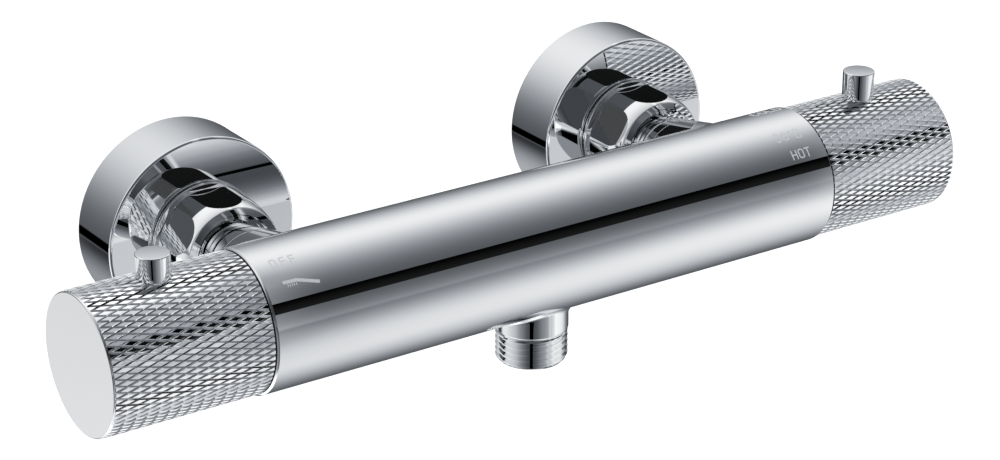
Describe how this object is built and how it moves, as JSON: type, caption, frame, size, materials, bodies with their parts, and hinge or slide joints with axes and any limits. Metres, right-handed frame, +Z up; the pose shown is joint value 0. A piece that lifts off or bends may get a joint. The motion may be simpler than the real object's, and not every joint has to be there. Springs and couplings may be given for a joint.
{
  "type": "thermostatic shower valve",
  "caption": "Wall-mounted thermostatic bar shower valve with a knurled flow handle, a knurled temperature handle with a safety stop button and a threaded hose outlet.",
  "frame": {"origin": "in the surface of the finished wall, midway between the two inlets, at the height of the bar's axis", "axes": "+X along the bar from the hot inlet to the cold one, +Y into the wall, +Z up"},
  "size_m": [0.2856, 0.1126, 0.0653],
  "materials": {
    "polished_chrome": "mirror-polished chrome plate",
    "bare_brass": "machined, unplated",
    "stainless_steel": "plain",
    "white_ceramic": "lapped ceramic",
    "white_plastic": "moulded",
    "black_plastic": "moulded",
    "blue_plastic": "moulded",
    "red_plastic": "moulded",
    "black_rubber": "moulded, matt",
    "grey_rubber": "fibre and rubber sheet"
  },
  "bodies": {
    "valve": {"valve_body": "polished_chrome", "outlet_spigot": "polished_chrome", "hot_tailpiece": "polished_chrome", "cold_tailpiece": "polished_chrome", "hot_union_nut": "polished_chrome", "cold_union_nut": "polished_chrome", "hot_washer": "grey_rubber", "cold_washer": "grey_rubber", "hot_filter": "stainless_steel", "cold_filter": "stainless_steel", "hot_check_housing": "white_plastic", "cold_check_housing": "white_plastic", "hot_check_spring": "stainless_steel", "cold_check_spring": "stainless_steel", "hot_eccentric_union": "polished_chrome", "cold_eccentric_union": "polished_chrome", "hot_wall_flange": "polished_chrome", "cold_wall_flange": "polished_chrome", "flow_lip_seal": "black_rubber", "flow_fixed_disc": "white_ceramic", "flow_cartridge_housing": "bare_brass", "flow_cartridge_o_ring": "black_rubber", "flow_glide_ring": "black_plastic", "thermo_housing": "black_plastic", "thermo_housing_o_rings": "black_rubber", "thermo_head": "black_plastic", "thermo_retaining_nut": "bare_brass", "thermo_return_spring": "stainless_steel", "thermo_stop_ring": "white_plastic", "temperature_glide_ring": "black_plastic"},
    "flow_handle": {"flow_moving_disc": "white_ceramic", "flow_spindle": "bare_brass", "flow_spindle_o_rings": "black_rubber", "flow_circlip": "stainless_steel", "flow_insert": "white_plastic", "flow_screw": "stainless_steel", "flow_handle_shell": "polished_chrome", "flow_lever_pin": "polished_chrome", "flow_end_cap": "polished_chrome"},
    "temperature_handle": {"thermo_spindle": "bare_brass", "thermo_spindle_o_rings": "black_rubber", "thermo_circlip": "stainless_steel", "temperature_insert": "white_plastic", "temperature_screw": "stainless_steel", "temperature_handle_shell": "polished_chrome", "safety_spring": "stainless_steel", "temperature_end_cap": "polished_chrome"},
    "safety_stop": {"safety_button": "polished_chrome", "safety_latch": "red_plastic"},
    "regulator": {"thermo_shuttle": "stainless_steel", "thermo_wax_element": "bare_brass", "thermo_adjusting_nut": "bare_brass", "thermo_overtravel_spring": "stainless_steel", "thermo_overtravel_plate": "stainless_steel"},
    "hot_check_valve": {"hot_check_poppet": "blue_plastic"},
    "cold_check_valve": {"cold_check_poppet": "blue_plastic"}
  },
  "joints": [
    {"name": "flow_handle_turn", "type": "hinge", "parent": "valve", "child": "flow_handle", "pos_m": [-0.12, -0.077, 0], "axis": [1, 0, 0], "range_deg": [0, 90]},
    {"name": "temperature_handle_turn", "type": "hinge", "parent": "valve", "child": "temperature_handle", "pos_m": [0.12, -0.077, 0], "axis": [1, 0, 0], "range_deg": [-12, 46.5]},
    {"name": "safety_button_press", "type": "slide", "parent": "temperature_handle", "child": "safety_stop", "axis": [0, 0, -1], "range_m": [0, 0.002], "stiffness_N_per_m": 600, "springref_m": -0.002, "deforming": ["safety_spring"]},
    {"name": "regulator_slide", "type": "slide", "parent": "valve", "child": "regulator", "axis": [1, 0, 0], "range_m": [-0.00021, 0.00079], "deforming": ["thermo_return_spring"]},
    {"name": "hot_check_open", "type": "slide", "parent": "valve", "child": "hot_check_valve", "axis": [0, -1, 0], "range_m": [0, 0.0025], "stiffness_N_per_m": 60, "springref_m": -0.003, "deforming": ["hot_check_spring"]},
    {"name": "cold_check_open", "type": "slide", "parent": "valve", "child": "cold_check_valve", "axis": [0, -1, 0], "range_m": [0, 0.0025], "stiffness_N_per_m": 60, "springref_m": -0.003, "deforming": ["cold_check_spring"]}
  ],
  "couplings": [
    {"joint": "regulator_slide", "follows": "temperature_handle_turn", "m_per_rad": 0.00095493}
  ]
}
